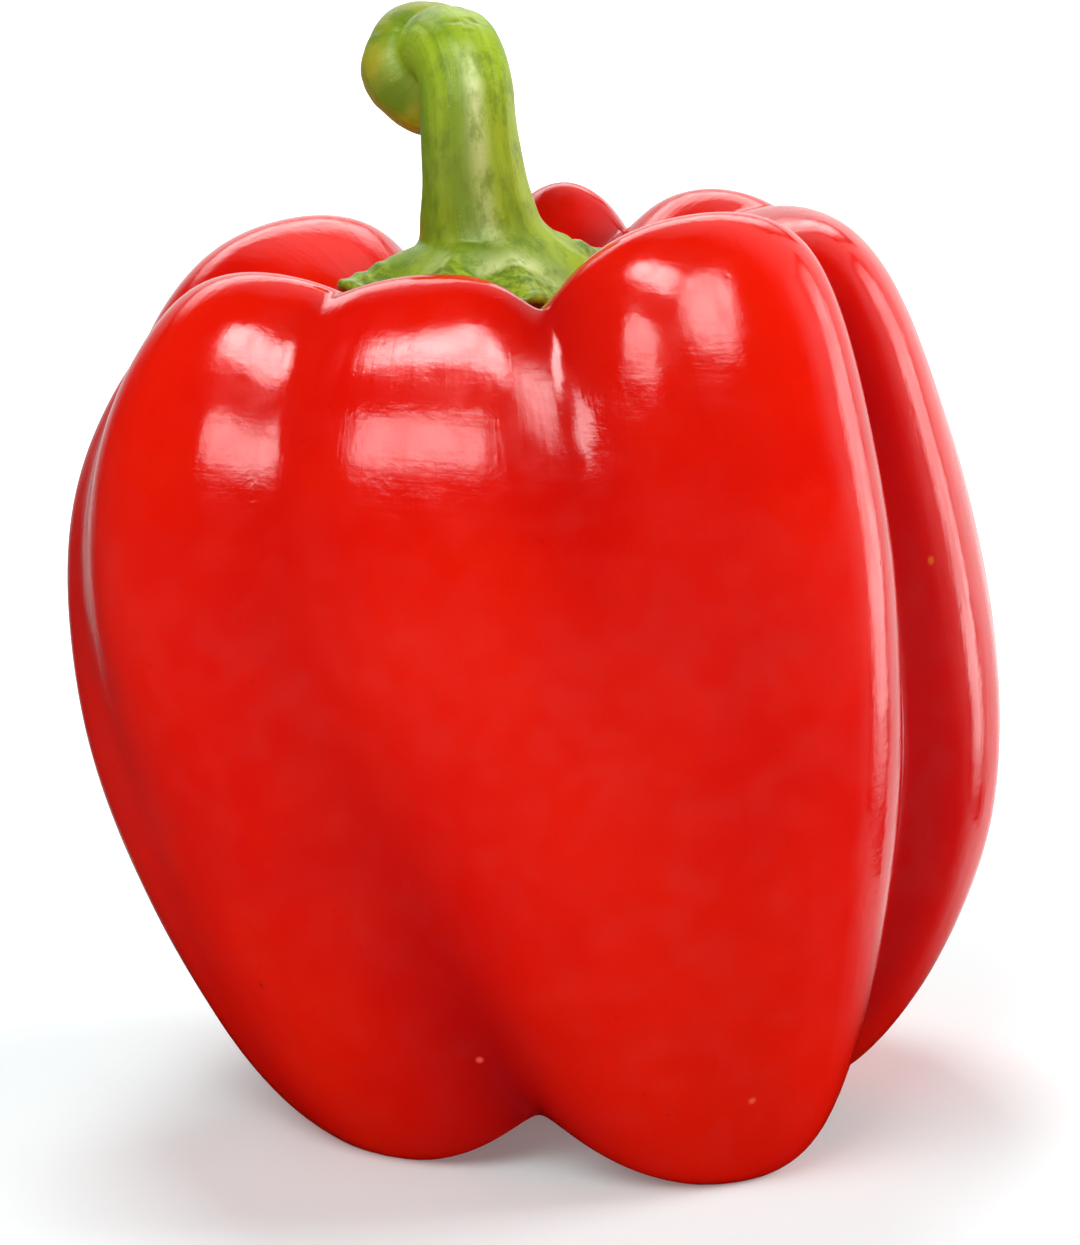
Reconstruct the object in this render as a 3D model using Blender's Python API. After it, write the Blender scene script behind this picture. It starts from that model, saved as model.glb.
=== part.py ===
"""A blocky red bell pepper that stands on its four lobes, with its green stem and calyx.

Two pieces: the fruit, and the stem with the calyx that it widens into. The front faces -Y.
"""

import math
from collections import namedtuple

import bmesh
import bpy
import numpy as np

# Each lobe has two or three ribs with a shallow cleft between them, and a deep cleft parts two
# lobes. A row gives one rib and the cleft after it, anticlockwise seen from above: the cleft's
# azimuth at the crest and at the foot, in degrees from the front towards +X; its depth at the
# crest, on the side and at the foot; the radius and height of the rib's crest; and the radii of
# its upper side, lower side and foot. Lengths are in metres.
Rib = namedtuple("Rib", "cleft_top cleft_foot deep_top deep_side deep_foot crest high upper lower foot")
RIBS = (
    Rib(-42, -6, 0.0020, 0.0030, 0.0110, 0.0275, 0.0860, 0.0480, 0.0395, 0.0220),
    Rib(8, 33, 0.0065, 0.0010, 0.0, 0.0215, 0.0877, 0.0405, 0.0385, 0.0255),
    Rib(64, 71, 0.0085, 0.0085, 0.0105, 0.0325, 0.0939, 0.0485, 0.0445, 0.0265),
    Rib(112, 108, 0.0015, 0.0010, 0.0, 0.0290, 0.0893, 0.0445, 0.0490, 0.0220),
    Rib(150, 163, 0.0065, 0.0040, 0.0085, 0.0250, 0.0893, 0.0470, 0.0465, 0.0220),
    Rib(181, 192, 0.0045, 0.0010, 0.0, 0.0235, 0.0906, 0.0480, 0.0440, 0.0220),
    Rib(200, 218, 0.0060, 0.0010, 0.0, 0.0240, 0.0875, 0.0485, 0.0440, 0.0220),
    Rib(262, 255, 0.0050, 0.0035, 0.0100, 0.0265, 0.0852, 0.0485, 0.0415, 0.0220),
    Rib(277, 297, 0.0040, 0.0020, 0.0, 0.0290, 0.0842, 0.0510, 0.0472, 0.0235),
)

# The outline of a rib runs over ten control points: two in the basin round the stem, two at the
# crest, one on the upper side, one on the lower side, two at the foot and two in the dimple below.
# A share of 0.5 along it is the basin's middle and 8.5 is the dimple's.
FIRST, LAST = 0.5, 8.5
BASIN_END = 2.6
SAMPLES = 240
BASIN_RADIUS = 0.0080
BASIN_HEIGHT = 0.0740
CREST_HALF = 0.0060
UPPER_SHARE = 0.72
LOWER_SHARE = 0.30
FOOT_OUT = 0.0065
FOOT_DROP = 0.0054
FOOT_IN = 0.0070
FOOT_RISE = -0.0030
DIMPLE_RADIUS = 0.0050
DIMPLE_HEIGHT = 0.0090

# At the same ten points: how far the outline's axis lies towards +X, how far a cleft has turned
# from its azimuth at the crest to that at the foot, how wide it is, how round its floor is, and
# what share of each of its three depths it has.
AXIS = (-0.0045, -0.0045, -0.0030, -0.0030, -0.0010, 0.0020, 0.0045, 0.0045, 0.0045, 0.0045)
TURN = (0.0, 0.0, 0.0, 0.0, 0.1, 0.45, 1.0, 1.0, 1.0, 1.0)
WIDTH = (0.003, 0.003, 0.004, 0.0045, 0.009, 0.011, 0.008, 0.007, 0.006, 0.004)
ROUNDING = (0.0005, 0.0005, 0.0006, 0.0010, 0.0050, 0.0050, 0.0030, 0.0025, 0.0015, 0.0010)
TOP_SHARE = (0.0, 0.0, 1.2, 0.9, 0.3, 0.0, 0.0, 0.0, 0.0, 0.0)
SIDE_SHARE = (0.0, 0.0, 0.0, 0.2, 0.9, 0.9, 0.2, 0.0, 0.0, 0.0)
FOOT_SHARE = (0.0, 0.0, 0.0, 0.0, 0.0, 0.2, 0.8, 1.0, 0.9, 0.0)

COLUMNS_PER_RIB = 8
CROWDING = 0.4
FRUIT_ROWS = 36

# The round hole in the basin that the stem's root stands in, and the gaps round the root.
SOCKET_RADIUS = 0.0060
SOCKET_DEPTH = 0.0050
ROOT_GAP = 0.0004
CALYX_GAP = 0.0005

# The calyx hugs the basin, and follows only part of the clefts' depth. Its edge reaches out in
# sepals: each has an azimuth in degrees, a reach, a half width in degrees and how far its point
# lifts off the fruit.
CALYX_SHARE = 0.35
CALYX_RADIUS = 0.0118
Sepal = namedtuple("Sepal", "azimuth reach half_width lift")
SEPALS = (
    Sepal(-75, 0.0150, 20, 0.0017),
    Sepal(-22, 0.0130, 14, 0.0008),
    Sepal(12, 0.0150, 20, -0.0003),
    Sepal(79, 0.0126, 13, 0.0001),
    Sepal(131, 0.0135, 15, 0.0001),
    Sepal(205, 0.0152, 15, 0.0014),
)
SEPAL_POINT = 1.4
SEPAL_RIDGE = 0.0005
EDGE_THICKNESS = 0.0010
HUB_THICKNESS = 0.0086
HUB_RISE = 1.5
HUB_RADIUS = 0.0064
UNDER_ROWS = 6
OVER_ROWS = 8

# The stalk leans a little to the left, narrows upwards and then bends over to the back left. It
# ends in a swollen knob with a round scar where it was cut. A station gives the centre's x and
# height and the radius.
Station = namedtuple("Station", "x height radius")
STALK = (
    Station(-0.0049, 0.0864, 0.0059),
    Station(-0.0053, 0.0884, 0.0054),
    Station(-0.0057, 0.0910, 0.0049),
    Station(-0.0060, 0.0944, 0.0046),
    Station(-0.0062, 0.0975, 0.0044),
)
BEND_AZIMUTH = 201
BEND_RADIUS = 0.0049
BEND_DEGREES = 121
BEND_ROWS = 8
BEND_THIN = 0.0042
KNOB_RISE = 0.0032
KNOB_LENGTH = 0.0078
KNOB_RADIUS = 0.0065
KNOB_ROUND = 0.0066
KNOB_ROWS = 8
SCAR_DEPTH = 0.0004
STALK_RIDGES = 5
STALK_RIDGE = 0.02
STEM_COLUMNS = 54

SHARP_DEGREES = 50
SLOPE_STEP = 1e-4
FRUIT_RED = (0.72, 0.012, 0.002, 1.0)
FRUIT_ROUGHNESS = 0.2
STEM_GREEN = (0.24, 0.36, 0.03, 1.0)
STEM_ROUGHNESS = 0.45


def ring_value(values, around):
    """A smooth closed curve through one value for each rib, read at a rib coordinate."""
    before = np.floor(around).astype(int)
    part = around - before
    a, b, c, d = (np.asarray(values)[(before + step) % len(values)] for step in (-1, 0, 1, 2))
    bend = 2 * a - 5 * b + 4 * c - d
    twist = 3 * b - a - 3 * c + d
    return b + 0.5 * ((c - a) * part + bend * part**2 + twist * part**3)


def spline(points, along):
    """A uniform cubic B-spline. The middle of its first edge is at 0.5."""
    first = np.minimum(np.floor(along).astype(int), len(points) - 4)
    part = along - first
    weights = (
        (1 - part) ** 3 / 6,
        (3 * part**3 - 6 * part**2 + 4) / 6,
        (1 + 3 * part + 3 * part**2 - 3 * part**3) / 6,
        part**3 / 6,
    )
    return sum(weight * np.choose(first + step, points) for step, weight in enumerate(weights))


def spread(values, along):
    """Reads a tuple given at the ten control points."""
    values = (values[0], *values, values[-1])
    return spline([np.full_like(along, value) for value in values], along)


def azimuth(around, turned):
    """Degrees from the front, for a rib coordinate, at a share of the way to the foot."""
    even = 360 / len(RIBS)
    places = np.arange(len(RIBS)) * even
    top = ring_value([rib.cleft_top for rib in RIBS] - places, around - 0.5)
    foot = ring_value([rib.cleft_foot for rib in RIBS] - places, around - 0.5)
    return top + (foot - top) * turned + (around - 0.5) * even


def outline(around, along):
    """Radius and height on a rib's outline before its clefts are cut."""
    crest, high, upper, lower, foot = (
        ring_value([getattr(rib, name) for rib in RIBS], around)
        for name in ("crest", "high", "upper", "lower", "foot")
    )
    flat = np.zeros_like(around)
    radii = [
        -(crest - CREST_HALF), flat - BASIN_RADIUS, flat + BASIN_RADIUS, crest - CREST_HALF,
        crest + CREST_HALF, upper, lower, foot + FOOT_OUT, foot - FOOT_IN,
        flat + DIMPLE_RADIUS, flat - DIMPLE_RADIUS, -(foot - FOOT_IN),
    ]
    heights = [
        high, flat + BASIN_HEIGHT, flat + BASIN_HEIGHT, high,
        high, UPPER_SHARE * high, LOWER_SHARE * high, flat - FOOT_DROP, flat + FOOT_RISE,
        flat + DIMPLE_HEIGHT, flat + DIMPLE_HEIGHT, flat + FOOT_RISE,
    ]
    return spline(radii, along), spline(heights, along)


def cleft_depth(around, along, radius):
    """How far the clefts push the skin in."""
    turned = spread(TURN, along)
    here = azimuth(around, turned)
    width, rounding = spread(WIDTH, along), spread(ROUNDING, along)
    shares = spread(TOP_SHARE, along), spread(SIDE_SHARE, along), spread(FOOT_SHARE, along)
    depth = np.zeros_like(around)
    for place, rib in enumerate(RIBS):
        full = shares[0] * rib.deep_top + shares[1] * rib.deep_side + shares[2] * rib.deep_foot
        cleft = azimuth(np.full_like(around, place + 0.5), turned)
        away = np.radians((here - cleft + 180) % 360 - 180) * radius
        depth += full * np.exp((rounding - np.hypot(away, rounding)) / width)
    return depth


def fruit_surface(around, along, share=1.0, lift=0.0):
    """Points of the fruit's skin, with a share of the clefts' depth, lifted off it by a distance."""
    around, along = np.broadcast_arrays(around, along)
    around, along = around.astype(float), along.astype(float)
    radius, height = outline(around, along)
    ahead, behind = outline(around, along + SLOPE_STEP), outline(around, along - SLOPE_STEP)
    run, rise = ahead[0] - behind[0], ahead[1] - behind[1]
    length = np.hypot(run, rise)
    inward = share * cleft_depth(around, along, radius) - lift
    radius = radius + rise / length * inward
    height = height - run / length * inward
    angle = np.radians(azimuth(around, spread(TURN, along)))
    x = spread(AXIS, along) + radius * np.sin(angle)
    return np.stack([x, -radius * np.cos(angle), height], axis=-1)


def rib_columns(per_rib):
    """Rib coordinates of the columns, closer together near the clefts."""
    step = np.arange(per_rib * len(RIBS)) / per_rib
    return step - 0.5 - CROWDING * np.sin(2 * math.pi * step) / (2 * math.pi)


def socket_mouth(around):
    """Where along each outline the hole's wall meets the basin."""
    along = np.linspace(FIRST, BASIN_END, SAMPLES)[:, None]
    radius = outline(*np.broadcast_arrays(around[None, :], along))[0]
    return np.array([np.interp(SOCKET_RADIUS, column, along[:, 0]) for column in radius.T])


def fruit_grid():
    """Rings of the fruit, from the dimple below up to the floor of the hole."""
    around = rib_columns(COLUMNS_PER_RIB)
    mouth = socket_mouth(around)
    share = np.linspace(1, 0, FRUIT_ROWS - 1)[:, None]
    skin = fruit_surface(around[None, :], mouth + (LAST - mouth) * share)
    skin[..., 2] = np.maximum(skin[..., 2], 0.0)
    floor = skin[-1].copy()
    floor[:, 2] = skin[-1, :, 2].mean() - SOCKET_DEPTH
    centre = np.broadcast_to(floor.mean(axis=0), floor.shape)
    return np.concatenate([skin, floor[None], centre[None]])


def sepal_share(angle):
    """1 in the middle of a sepal and 0 between sepals, with the calyx's reach and lift there."""
    share, reach = np.zeros_like(angle), np.full_like(angle, CALYX_RADIUS)
    lift = np.zeros_like(angle)
    for sepal in SEPALS:
        away = np.abs((angle - sepal.azimuth + 180) % 360 - 180) / sepal.half_width
        near = np.exp(-(away**SEPAL_POINT))
        share = np.maximum(share, near)
        reach = reach + (sepal.reach - CALYX_RADIUS) * near
        lift = lift + sepal.lift * near
    return share, reach, lift


def calyx_floor(around, radius):
    """Points at a given radius on the calyx's underside, just off the fruit."""
    along = np.linspace(FIRST, BASIN_END, SAMPLES)[:, None]
    curves = fruit_surface(around[None, :], along, CALYX_SHARE, CALYX_GAP)
    axis = spread(AXIS, along)
    points = np.empty((len(around), 3))
    for column, wanted in enumerate(radius):
        reached = np.hypot(curves[:, column, 0] - axis[:, 0], curves[:, column, 1])
        points[column] = [np.interp(wanted, reached, curves[:, column, k]) for k in range(3)]
    return points


def calyx_rings(around):
    """Rings out along the calyx's underside, round its edge and back over its top to the stalk."""
    angle = azimuth(around, 0.0)
    share, reach, lift = sepal_share(angle)
    under, over = [], []
    inner = SOCKET_RADIUS - ROOT_GAP
    for out in np.linspace(0, 1, UNDER_ROWS + 1):
        under.append(calyx_floor(around, inner + (reach - inner) * out))
        under[-1][:, 2] += lift * out
    for back in np.linspace(0, 1, OVER_ROWS + 1):
        ring = calyx_floor(around, reach + (HUB_RADIUS - reach) * back)
        ring[:, 2] += lift * (1 - back)
        ring[:, 2] += EDGE_THICKNESS + HUB_THICKNESS * back**HUB_RISE
        ring[:, 2] += 4 * SEPAL_RIDGE * share * back * (1 - back)
        over.append(ring)
    return under + over


def circle(centre, side, up, angle, radius):
    """A ring of points round a centre, in the plane of two directions."""
    turn = np.radians(angle)[:, None]
    ridged = radius * (1 + STALK_RIDGE * np.cos(STALK_RIDGES * turn))
    return centre + ridged * (np.sin(turn) * side - np.cos(turn) * up)


def knob_radius(along):
    """The knob swells out of the bend, is widest at KNOB_RISE and rounds in again."""
    if along < KNOB_RISE:
        part = along / KNOB_RISE
        return BEND_THIN + (KNOB_RADIUS - BEND_THIN) * math.sin(math.pi / 2 * part)
    return KNOB_RADIUS * math.sqrt(1 - ((along - KNOB_RISE) / KNOB_ROUND) ** 2)


def stalk_rings(around):
    """Rings up the stalk, over its bend and round the knob to the middle of the scar."""
    angle = azimuth(around, 0.0)
    side, back = np.array([1.0, 0, 0]), np.array([0, 1.0, 0])
    rings = [
        circle(np.array([place.x, 0, place.height]), side, back, angle, place.radius)
        for place in STALK
    ]
    last = STALK[-1]
    heading = math.radians(BEND_AZIMUTH)
    over = np.array([math.sin(heading), -math.cos(heading), 0])
    upward = np.array([0, 0, 1.0])
    pivot = np.array([last.x, 0, last.height]) + BEND_RADIUS * over

    def tilted(vector, tilt):
        """Turns a level direction with the bend."""
        level = vector @ over
        return vector + level * ((math.cos(tilt) - 1) * over - math.sin(tilt) * upward)

    end = math.radians(BEND_DEGREES)
    for tilt in np.linspace(0, end, BEND_ROWS + 1)[1:]:
        centre = pivot + BEND_RADIUS * (math.sin(tilt) * upward - math.cos(tilt) * over)
        radius = last.radius + (BEND_THIN - last.radius) * math.sin(math.pi * tilt / end / 2)
        rings.append(circle(centre, tilted(side, tilt), tilted(back, tilt), angle, radius))
    ahead = math.sin(end) * over + math.cos(end) * upward
    for part in np.linspace(0, 1, KNOB_ROWS + 1)[1:]:
        middle = centre + KNOB_LENGTH * part * ahead
        radius = knob_radius(KNOB_LENGTH * part)
        rings.append(circle(middle, tilted(side, end), tilted(back, end), angle, radius))
    tip = centre + (KNOB_LENGTH - SCAR_DEPTH) * ahead
    rings.append(np.broadcast_to(tip, rings[-1].shape))
    return rings


def stem_grid():
    """Rings of the stem, from the bottom of its root up to the scar."""
    around = np.arange(STEM_COLUMNS) * len(RIBS) / STEM_COLUMNS
    calyx = calyx_rings(around)
    bottom = calyx[0].copy()
    bottom[:, 2] = fruit_grid()[-1, 0, 2] + ROOT_GAP
    centre = np.broadcast_to(bottom.mean(axis=0), bottom.shape)
    return np.stack([centre, bottom, *calyx, *stalk_rings(around)])


def material(name, colour, roughness):
    """A plain coloured skin."""
    made = bpy.data.materials.new(name)
    made.use_nodes = True
    shader = made.node_tree.nodes["Principled BSDF"]
    shader.inputs["Base Color"].default_value = colour
    shader.inputs["Roughness"].default_value = roughness
    shader.inputs["Metallic"].default_value = 0.0
    made.diffuse_color = colour
    return made


def skin(name, grid, coat):
    """A closed body: a ball whose parallels are moved to the grid's rings, lowest pole first."""
    rows, columns = grid.shape[0] - 1, grid.shape[1]
    shape = bmesh.new()
    bmesh.ops.create_uvsphere(shape, u_segments=columns, v_segments=rows, radius=1.0)
    for point in shape.verts:
        row = round(math.acos(min(1.0, max(-1.0, -point.co.z))) / math.pi * rows)
        column = round(math.atan2(point.co.y, point.co.x) / (2 * math.pi) * columns) % columns
        point.co = grid[row, column]
    mesh = bpy.data.meshes.new(name)
    shape.to_mesh(mesh)
    shape.free()
    mesh.materials.append(coat)
    mesh.shade_smooth()
    mesh.set_sharp_from_angle(angle=math.radians(SHARP_DEGREES))
    made = bpy.data.objects.new(name, mesh)
    bpy.context.scene.collection.objects.link(made)
    return made


def main():
    for old in list(bpy.data.objects):
        bpy.data.objects.remove(old, do_unlink=True)
    fruit, stem = fruit_grid(), stem_grid()
    both = np.concatenate([fruit.reshape(-1, 3), stem.reshape(-1, 3)])
    centre = (both.min(axis=0) + both.max(axis=0)) / 2
    centre[2] = 0.0
    skin("fruit", fruit - centre, material("fruit_skin", FRUIT_RED, FRUIT_ROUGHNESS))
    skin("stem", stem - centre, material("stem_skin", STEM_GREEN, STEM_ROUGHNESS))


main()
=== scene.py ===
"""A blocky red bell pepper on a white studio table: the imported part, dressed with fine surfaces."""

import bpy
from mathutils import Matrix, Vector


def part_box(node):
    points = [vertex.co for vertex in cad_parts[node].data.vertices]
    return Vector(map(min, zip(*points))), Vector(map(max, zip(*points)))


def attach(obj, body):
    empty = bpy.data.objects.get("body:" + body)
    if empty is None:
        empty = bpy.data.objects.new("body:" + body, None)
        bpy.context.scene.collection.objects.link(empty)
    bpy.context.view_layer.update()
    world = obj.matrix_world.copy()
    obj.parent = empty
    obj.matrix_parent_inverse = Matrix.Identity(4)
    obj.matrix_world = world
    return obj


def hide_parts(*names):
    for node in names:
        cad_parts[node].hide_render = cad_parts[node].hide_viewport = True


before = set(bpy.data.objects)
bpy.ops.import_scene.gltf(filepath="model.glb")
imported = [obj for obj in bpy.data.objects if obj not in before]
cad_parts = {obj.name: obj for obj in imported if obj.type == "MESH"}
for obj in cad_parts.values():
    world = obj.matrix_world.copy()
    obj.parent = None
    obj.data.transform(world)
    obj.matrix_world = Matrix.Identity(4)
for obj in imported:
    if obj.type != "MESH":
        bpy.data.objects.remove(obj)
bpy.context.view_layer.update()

import math
from collections import namedtuple

import bmesh
import bpy
import numpy as np
from mathutils import Vector, noise

# Each row gives one rib of the fruit and the cleft after it, anticlockwise seen from above: the
# cleft's azimuth at the crest and at the foot, in degrees from the front towards +X; its depth at
# the crest, on the side and at the foot; the radius and height of the rib's crest; and the radii
# of its upper side, lower side and foot. Lengths are in metres.
Rib = namedtuple("Rib", "cleft_top cleft_foot deep_top deep_side deep_foot crest high upper lower foot")
RIBS = (
    Rib(-42, -6, 0.0020, 0.0030, 0.0110, 0.0275, 0.0860, 0.0480, 0.0395, 0.0220),
    Rib(8, 33, 0.0065, 0.0010, 0.0, 0.0215, 0.0877, 0.0405, 0.0385, 0.0255),
    Rib(64, 71, 0.0085, 0.0085, 0.0105, 0.0325, 0.0939, 0.0485, 0.0445, 0.0265),
    Rib(112, 108, 0.0015, 0.0010, 0.0, 0.0290, 0.0893, 0.0445, 0.0490, 0.0220),
    Rib(150, 163, 0.0065, 0.0040, 0.0085, 0.0250, 0.0893, 0.0470, 0.0465, 0.0220),
    Rib(181, 192, 0.0045, 0.0010, 0.0, 0.0235, 0.0906, 0.0480, 0.0440, 0.0220),
    Rib(200, 218, 0.0060, 0.0010, 0.0, 0.0240, 0.0875, 0.0485, 0.0440, 0.0220),
    Rib(262, 255, 0.0050, 0.0035, 0.0100, 0.0265, 0.0852, 0.0485, 0.0415, 0.0220),
    Rib(277, 297, 0.0040, 0.0020, 0.0, 0.0290, 0.0842, 0.0510, 0.0472, 0.0235),
)

# A rib's outline over its ten control points: basin, crest, upper and lower side, foot, dimple.
FIRST, LAST = 0.5, 8.5
BASIN_END = 2.6
SAMPLES = 240
BASIN_RADIUS = 0.0080
BASIN_HEIGHT = 0.0740
CREST_HALF = 0.0060
UPPER_SHARE = 0.72
LOWER_SHARE = 0.30
FOOT_OUT = 0.0065
FOOT_DROP = 0.0054
FOOT_IN = 0.0070
FOOT_RISE = -0.0030
DIMPLE_RADIUS = 0.0050
DIMPLE_HEIGHT = 0.0090
AXIS = (-0.0045, -0.0045, -0.0030, -0.0030, -0.0010, 0.0020, 0.0045, 0.0045, 0.0045, 0.0045)
TURN = (0.0, 0.0, 0.0, 0.0, 0.1, 0.45, 1.0, 1.0, 1.0, 1.0)
WIDTH = (0.003, 0.003, 0.004, 0.0045, 0.009, 0.011, 0.008, 0.007, 0.006, 0.004)
ROUNDING = (0.0005, 0.0005, 0.0006, 0.0010, 0.0050, 0.0050, 0.0030, 0.0025, 0.0015, 0.0010)
TOP_SHARE = (0.0, 0.0, 1.2, 0.9, 0.3, 0.0, 0.0, 0.0, 0.0, 0.0)
SIDE_SHARE = (0.0, 0.0, 0.0, 0.2, 0.9, 0.9, 0.2, 0.0, 0.0, 0.0)
FOOT_SHARE = (0.0, 0.0, 0.0, 0.0, 0.0, 0.2, 0.8, 1.0, 0.9, 0.0)
SLOPE_STEP = 1e-4

# The fruit's fine skin.
COLUMNS_PER_RIB = 36
CROWDING = 0.4
FRUIT_ROWS = 240
SOCKET_RADIUS = 0.0060
SOCKET_DEPTH = 0.0050
ROOT_GAP = 0.0004
CALYX_GAP = 0.0005

# The calyx and its sepals: azimuth in degrees, reach, half width in degrees and lift.
CALYX_SHARE = 0.35
CALYX_RADIUS = 0.0118
Sepal = namedtuple("Sepal", "azimuth reach half_width lift")
SEPALS = (
    Sepal(-75, 0.0147, 22, 0.0019),
    Sepal(-22, 0.0130, 14, 0.0008),
    Sepal(12, 0.0150, 20, -0.0003),
    Sepal(79, 0.0126, 13, 0.0001),
    Sepal(131, 0.0135, 15, 0.0001),
    Sepal(205, 0.0152, 15, 0.0014),
)
SEPAL_POINT = 1.4
SEPAL_RIDGE = 0.0008
EDGE_THICKNESS = 0.0010
HUB_THICKNESS = 0.0086
HUB_RISE = 1.5
HUB_RADIUS = 0.0064
UNDER_ROWS = 12
OVER_ROWS = 8
FirstRows = namedtuple("FirstRows", "calyx foot bend scar")

# The stalk, its bend and the swollen knob at its end.
Station = namedtuple("Station", "x height radius")
STALK = (
    Station(-0.0049, 0.0864, 0.0059),
    Station(-0.0053, 0.0884, 0.0054),
    Station(-0.0057, 0.0910, 0.0049),
    Station(-0.0060, 0.0944, 0.0046),
    Station(-0.0062, 0.0975, 0.0044),
)
BEND_AZIMUTH = 201
BEND_RADIUS = 0.0049
BEND_DEGREES = 121
BEND_ROWS = 8
BEND_THIN = 0.0042
KNOB_RISE = 0.0032
KNOB_LENGTH = 0.0078
KNOB_RADIUS = 0.0065
KNOB_ROUND = 0.0066
KNOB_ROWS = 8
SCAR_DEPTH = 0.0004
STALK_RIDGES = 5
STALK_RIDGE = 0.02
STEM_COLUMNS = 216
ROWS_BETWEEN = 5

# Fine relief of the fruit, sizes in metres. Flutes run down it, deepest between two azimuths;
# dents lie all over it. Both fade out at the foot and in the basin.
GRAIN_RADIUS = 0.040
# The cleft depth at which the painted shade in the clefts is full.
CLEFT_SHADE_FULL = 0.008
DENT = 0.016
DENT_DEPTH = 0.00022
FLUTE = 0.0050
FLUTE_STRETCH = 8.0
FLUTE_DEPTH = 0.00004
FLUTED = (68, 165)
FLUTED_EASE = 15
FLUTED_DEPTH = 0.00026
FOOT_FADE = (0.004, 0.014)
BASIN_FADE = (BASIN_END, BASIN_END + 0.6)

# Fine relief of the stem: fibres on the stalk, a soft joint between stalk and hub, wrinkles on the
# sepals, lumps all over it and a rough scar.
RIM_ROWS = 4
SCAR_SHARES = (0.985, 0.93, 0.82, 0.66, 0.48, 0.30, 0.14, 0.0)
STALK_GRAIN = 0.0055
SEPAL_START = (0.0088, 0.0112)
FIBRE = 0.0011
FIBRE_STRETCH = 14.0
FIBRE_DEPTH = 0.00006
HUB_SWELL = 0.0007
HUB_SWELL_RISE = 14
HUB_SWELL_FALL = 16
JOIN_ROWS = 8
JOIN_PASSES = 14
LUMP = 0.005
LUMP_DEPTH = 0.00018
WRINKLE = 0.0013
WRINKLE_DEPTH = 0.00045
SCAR_GRAIN = 0.0012
SCAR_ROUGH = 0.00018
KNOB_START = 0.6

# Creases on top of the bend: way from the stalk's foot, strength, azimuth and half width in degrees.
Crease = namedtuple("Crease", "place strength azimuth half_width")
CREASES = (Crease(0.0224, 1.0, 21, 22), Crease(0.0231, 0.5, 32, 14))
CREASE_WIDTH = 0.00022
CREASE_WAVER = 0.0007
CREASE_WAVE = 0.004
CREASE_DEPTH = 0.00013

# The painted highlight, a pale streak up the front of the stalk and a pale patch at its foot:
# azimuth, half widths in degrees, the streak's strength low on the stalk, and the rows over which
# it grows and fades.
SHEEN_AZIMUTH = 10
SHEEN_WIDTH = 11
SHEEN_SPOT = 24
SHEEN_LOW = 0.45
SHEEN_GROWS = 12
SHEEN_FADES = (8, 18)
SHEEN_FOOT = (8, 4)

# Colours, as linear red, green and blue. Near the pepper the white floor is made less red, to
# offset the red light that the skin throws on it.
BRIGHT_RED = (0.76, 0.0085, 0.0006)
DEEP_RED = (0.70, 0.0050, 0.0006)
WARM_RED = (0.80, 0.0150, 0.0008)
# Dark red of the pores, also used as the painted shade deep in the clefts.
PORE_AND_CLEFT_SHADE_RED = (0.30, 0.001, 0.003)
LEAF_GREEN = (0.16, 0.27, 0.005)
YELLOW_GREEN = (0.29, 0.41, 0.012)
DEEP_GREEN = (0.07, 0.14, 0.004)
OLIVE = (0.14, 0.18, 0.015)
KNOB_GREEN = (0.12, 0.20, 0.003)
KNOB_YELLOW = (0.27, 0.26, 0.005)
RIM_BROWN = (0.40, 0.19, 0.015)
SEPAL_GREEN = (0.27, 0.37, 0.014)
SEPAL_DARK = (0.10, 0.18, 0.006)
# The pale green of the painted highlight on the stalk and hub.
PAINTED_SHEEN = (0.56, 0.66, 0.27)
CREASE_BROWN = (0.05, 0.06, 0.01)
SPECK = (0.45, 0.55, 0.16)
CORK = (0.50, 0.42, 0.20)
CORK_DARK = (0.20, 0.15, 0.05)
BLACK = (0.0, 0.0, 0.0)
WHITE = (0.865, 0.865, 0.865)
UNBLUSHED = (0.75, 0.865, 0.865)

# A few small spots on the skin: place, size and colour.
SPOTS = (
    ((0.0367, -0.0123, 0.0566), 0.0006, (0.50, 0.07, 0.01)),
    ((-0.0258, -0.0221, 0.0181), 0.0004, (0.30, 0.01, 0.01)),
    ((0.0198, -0.0318, 0.0100), 0.0005, (0.80, 0.08, 0.05)),
    ((-0.0054, -0.0270, 0.0123), 0.0005, (0.80, 0.08, 0.05)),
)

# Roughness of the skin and of the stem, from smooth to rough.
WAXY = (0.10, 0.19)
FIBROUS = (0.32, 0.46)

# Light and camera, from the middle of the fruit's foot. Softboxes light the colours; boards are
# seen only in the highlights. Each has a name, azimuth, elevation, size and radiance.
AIM = (0.0, 0.0, 0.055)
FILL = 0.20
BRIGHT_TOWARDS = (0.45, 0.80, 0.30)
BRIGHT_BEHIND = (0.34, 0.78)
DIM = 0.02
# The floor glows as painted light: its emission near and far from the pepper, and the radii between.
FLOOR_GLOW = (0.15, 0.70)
GLOW_RADII = (0.045, 0.24)
BLUSH_RADII = (0.040, 0.150)
SHADED_RADII = (0.040, 0.085)
LIGHT_DISTANCE = 0.90
SOFTBOXES = (
    ("front_softbox", -27, 42, (0.60, 0.60), 4.4),
    ("top_softbox", -162, 70, (0.30, 0.30), 14.5),
    ("right_softbox", 102, 18, (0.40, 0.40), 14.5),
)
BOARDS = (
    ("upper_board", -42, 52, (0.78, 0.32), 26.0),
    ("lower_board", -40, 24, (0.50, 0.26), 14.0),
    ("side_board", 16, 42, (0.78, 0.58), 15.0),
    ("back_board", -172, 34, (1.40, 0.50), 4.0),
    ("right_board", 118, 2, (0.42, 0.90), 5.0),
)
BOARD_EDGE = 0.50
CLOUD_SCALE = 11.0
CLOUD_DIM = 0.6
FLOOR_HALF = 2.5
SHADE_HALF = 0.12
SHADE_LEVEL = -0.0002
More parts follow.
